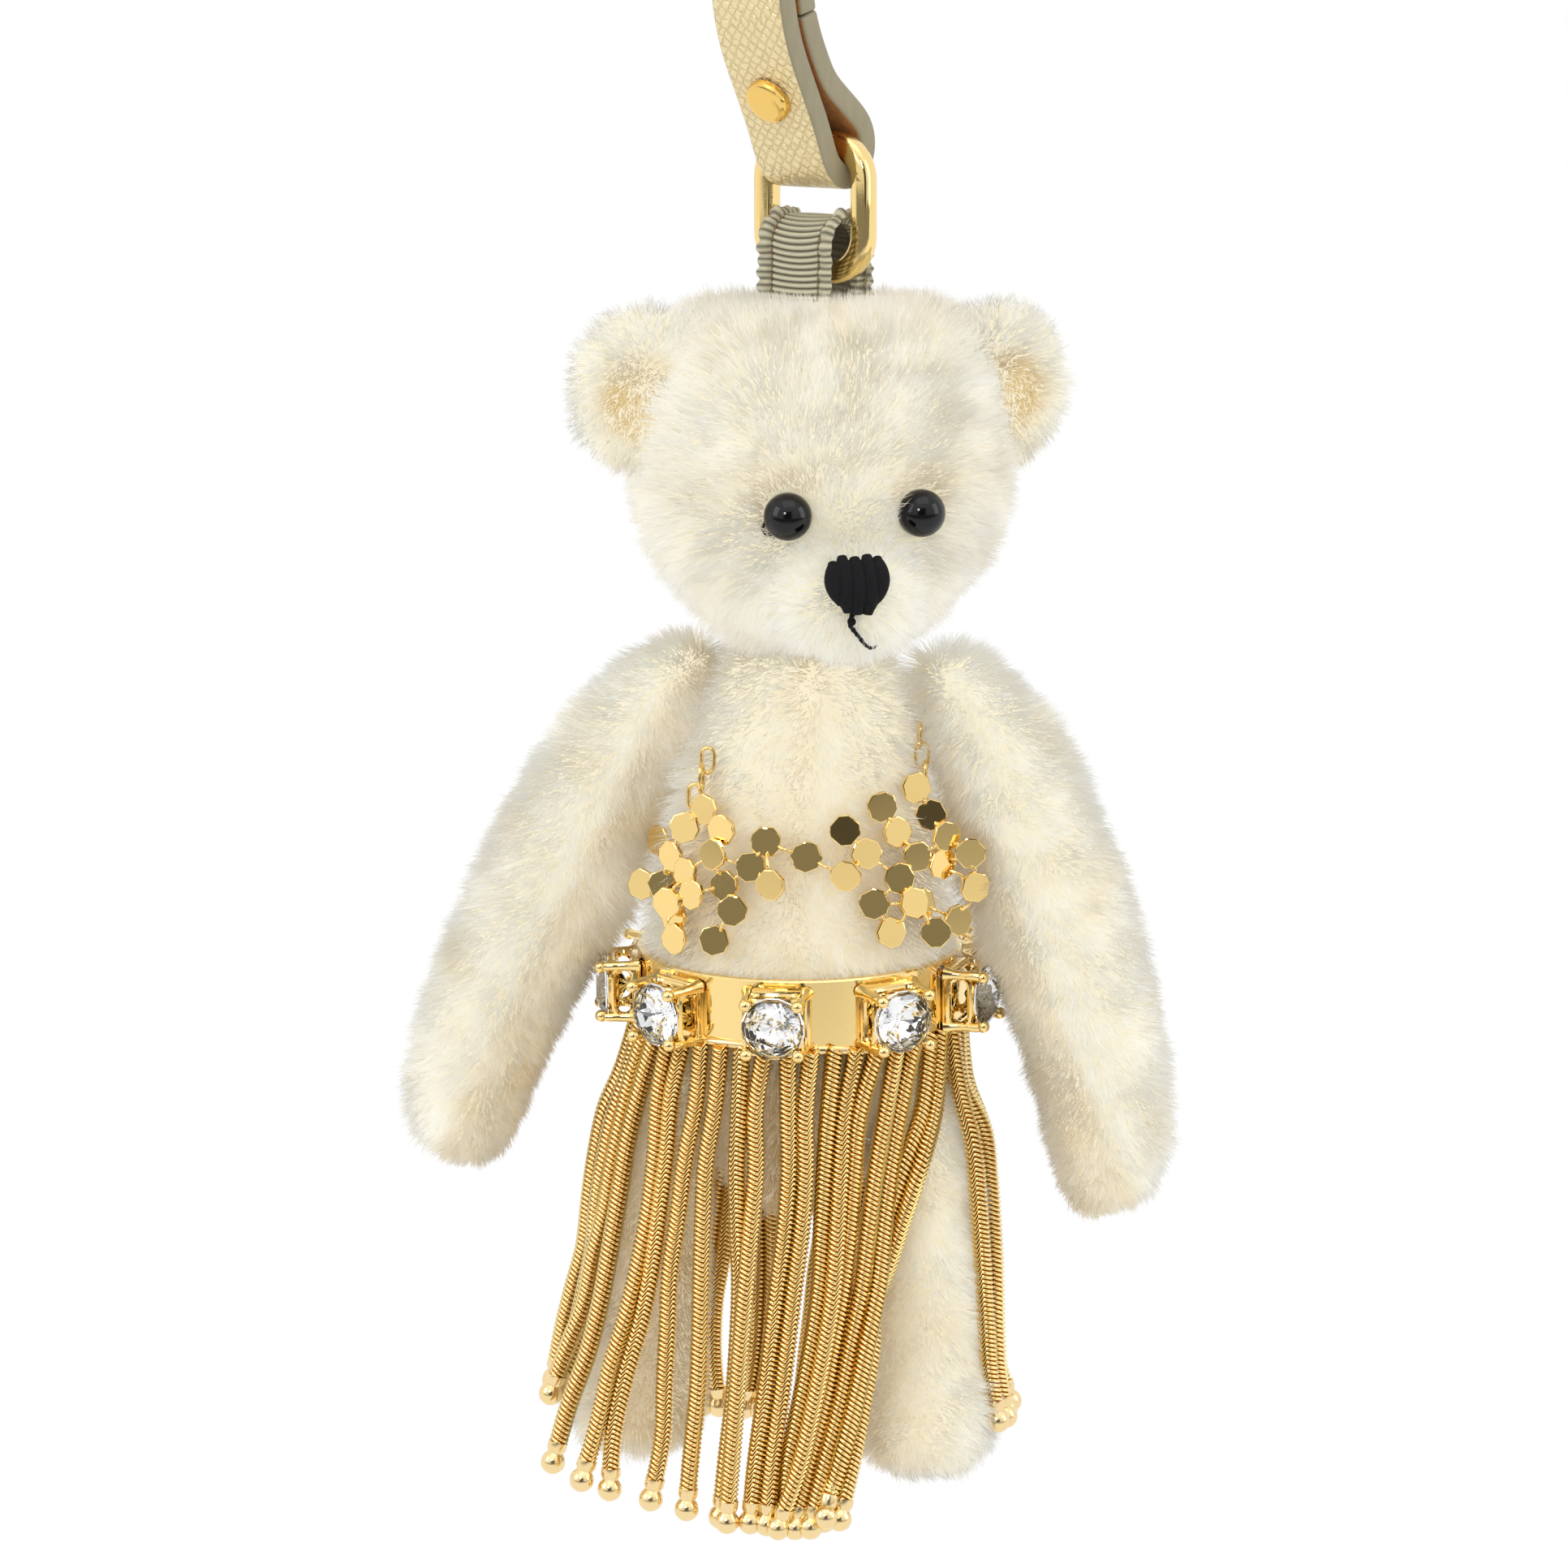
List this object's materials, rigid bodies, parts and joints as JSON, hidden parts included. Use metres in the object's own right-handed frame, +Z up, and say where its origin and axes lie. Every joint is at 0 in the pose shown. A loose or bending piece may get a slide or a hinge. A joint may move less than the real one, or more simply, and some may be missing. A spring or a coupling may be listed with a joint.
{
  "type": "plush keychain",
  "caption": "Jointed plush bear on a leather bag strap and snap hook, with a linked plate top, a stone-set belt and a fringe skirt of metal chains.",
  "frame": {"origin": "top of the snap hook's opening, where it rests on what holds it", "axes": "+Z up, the bear faces -Y, +X is the bear's left"},
  "size_m": [0.0741, 0.0427, 0.2032],
  "materials": {
    "gold_plate": "polished gold-coloured plating",
    "chain_gold": "gold-coloured woven snake chain",
    "gold_leather": "cross-grained leather with a pale gold foil, painted edges",
    "grosgrain": "ribbed sage ribbon",
    "mohair": "cream mohair pile, stuffed",
    "black_bead": "glossy black bead",
    "black_thread": "satin-stitched black thread",
    "clear_stone": "faceted clear stone",
    "fibreboard": "pressed board",
    "steel_wire": "plain split pin"
  },
  "bodies": {
    "hook": {"snap_hook": "gold_plate", "gate_pin": "gold_plate"},
    "gate": {"hook_gate": "gold_plate"},
    "swivel": {"swivel_eye": "gold_plate"},
    "strap": {"leather_strap": "gold_leather", "lower_rivet_cap": "gold_plate", "lower_rivet_back": "gold_plate", "upper_rivet_cap": "gold_plate", "upper_rivet_back": "gold_plate"},
    "ring": {"oblong_ring": "gold_plate"},
    "head": {"ribbon_loop": "grosgrain", "head": "mohair", "ear_left": "mohair", "ear_right": "mohair", "eye_left": "black_bead", "eye_right": "black_bead", "nose": "black_thread", "neck_disc_limb": "fibreboard", "neck_pin": "steel_wire"},
    "torso": {"torso": "mohair", "neck_disc_body": "fibreboard", "shoulder_left_disc_body": "fibreboard", "shoulder_right_disc_body": "fibreboard", "hip_left_disc_body": "fibreboard", "hip_right_disc_body": "fibreboard", "plate_top": "gold_plate", "back_chain": "gold_plate", "belt_band": "gold_plate", "stone_1": "clear_stone", "stone_2": "clear_stone", "stone_3": "clear_stone", "stone_4": "clear_stone", "stone_5": "clear_stone", "stone_6": "clear_stone", "stone_7": "clear_stone", "stone_8": "clear_stone", "stone_9": "clear_stone"},
    "arm_left": {"arm_left": "mohair", "shoulder_left_disc_limb": "fibreboard", "shoulder_left_pin": "steel_wire"},
    "leg_left": {"leg_left": "mohair", "hip_left_disc_limb": "fibreboard", "hip_left_pin": "steel_wire"},
    "arm_right": {"arm_right": "mohair", "shoulder_right_disc_limb": "fibreboard", "shoulder_right_pin": "steel_wire"},
    "leg_right": {"leg_right": "mohair", "hip_right_disc_limb": "fibreboard", "hip_right_pin": "steel_wire"},
    "fringe_front_left": {"fringe_front_left": "chain_gold"},
    "fringe_side_left": {"fringe_side_left": "chain_gold"},
    "fringe_back_left": {"fringe_back_left": "chain_gold"},
    "fringe_front_right": {"fringe_front_right": "chain_gold"},
    "fringe_side_right": {"fringe_side_right": "chain_gold"},
    "fringe_back_right": {"fringe_back_right": "chain_gold"}
  },
  "joints": [
    {"name": "gate_spring_hinge", "type": "hinge", "parent": "hook", "child": "gate", "pos_m": [-0.0054, 0, -0.0143], "axis": [0, 1, 0], "range_deg": [0, 30], "stiffness_Nm_per_rad": 0.02, "springref_deg": -8.59},
    {"name": "hook_swivel", "type": "hinge", "parent": "hook", "child": "swivel", "pos_m": [0, 0, -0.025], "axis": [0, 0, 1], "continuous": true},
    {"name": "strap_swing", "type": "hinge", "parent": "swivel", "child": "strap", "pos_m": [0, 0, -0.0334], "axis": [0.788, -0.6157, 0], "range_deg": [-60, 60]},
    {"name": "ring_swing", "type": "hinge", "parent": "strap", "child": "ring", "pos_m": [0.0053, 0.00678, -0.0643], "axis": [0.788, -0.6157, 0], "range_deg": [-40, 40]},
    {"name": "bear_swing", "type": "hinge", "parent": "ring", "child": "head", "pos_m": [0.0053, 0.00678, -0.0768], "axis": [0.788, -0.6157, 0], "range_deg": [-30, 30]},
    {"name": "neck_turn", "type": "hinge", "parent": "head", "child": "torso", "pos_m": [0.005, 0.0068, -0.11315], "axis": [0, 0, 1], "range_deg": [-60, 60]},
    {"name": "arm_left_turn", "type": "hinge", "parent": "torso", "child": "arm_left", "pos_m": [0.01556, 0.00513, -0.11933], "axis": [-0.9158, 0.145, -0.3746], "range_deg": [-75, 80]},
    {"name": "arm_right_turn", "type": "hinge", "parent": "torso", "child": "arm_right", "pos_m": [-0.00596, 0.00854, -0.11857], "axis": [-0.8877, 0.1406, 0.4384], "range_deg": [-75, 80]},
    {"name": "leg_left_turn", "type": "hinge", "parent": "torso", "child": "leg_left", "pos_m": [0.01141, 0.00528, -0.16271], "axis": [-0.9877, 0.1564, 0.0087], "range_deg": [0, 70]},
    {"name": "leg_right_turn", "type": "hinge", "parent": "torso", "child": "leg_right", "pos_m": [-0.00497, 0.00787, -0.16213], "axis": [-0.9858, 0.1561, 0.061], "range_deg": [0, 70]},
    {"name": "fringe_front_left_swing", "type": "hinge", "parent": "torso", "child": "fringe_front_left", "pos_m": [0.01131, -0.00622, -0.15306], "axis": [-0.9116, -0.41, 0.0292], "range_deg": [0, 70]},
    {"name": "fringe_side_left_swing", "type": "hinge", "parent": "torso", "child": "fringe_side_left", "pos_m": [0.02014, 0.00655, -0.1533], "axis": [0.0058, -1, -0.0057], "range_deg": [0, 4]},
    {"name": "fringe_back_left_swing", "type": "hinge", "parent": "torso", "child": "fringe_back_left", "pos_m": [0.01334, 0.01853, -0.153], "axis": [0.8234, -0.5666, -0.0315], "range_deg": [0, 40]},
    {"name": "fringe_front_right_swing", "type": "hinge", "parent": "torso", "child": "fringe_front_right", "pos_m": [-0.00776, -0.0032, -0.15239], "axis": [-0.7403, 0.6717, 0.0292], "range_deg": [0, 70]},
    {"name": "fringe_side_right_swing", "type": "hinge", "parent": "torso", "child": "fringe_side_right", "pos_m": [-0.0122, 0.01167, -0.15215], "axis": [0.3146, 0.9492, -0.0057], "range_deg": [0, 4]},
    {"name": "fringe_back_right_swing", "type": "hinge", "parent": "torso", "child": "fringe_back_right", "pos_m": [-0.00204, 0.02097, -0.15245], "axis": [0.9582, 0.2844, -0.0315], "range_deg": [0, 40]}
  ],
  "couplings": [
    {"joint": "fringe_front_left_swing", "follows": "leg_left_turn", "ratio": 1},
    {"joint": "fringe_front_right_swing", "follows": "leg_right_turn", "ratio": 1}
  ]
}
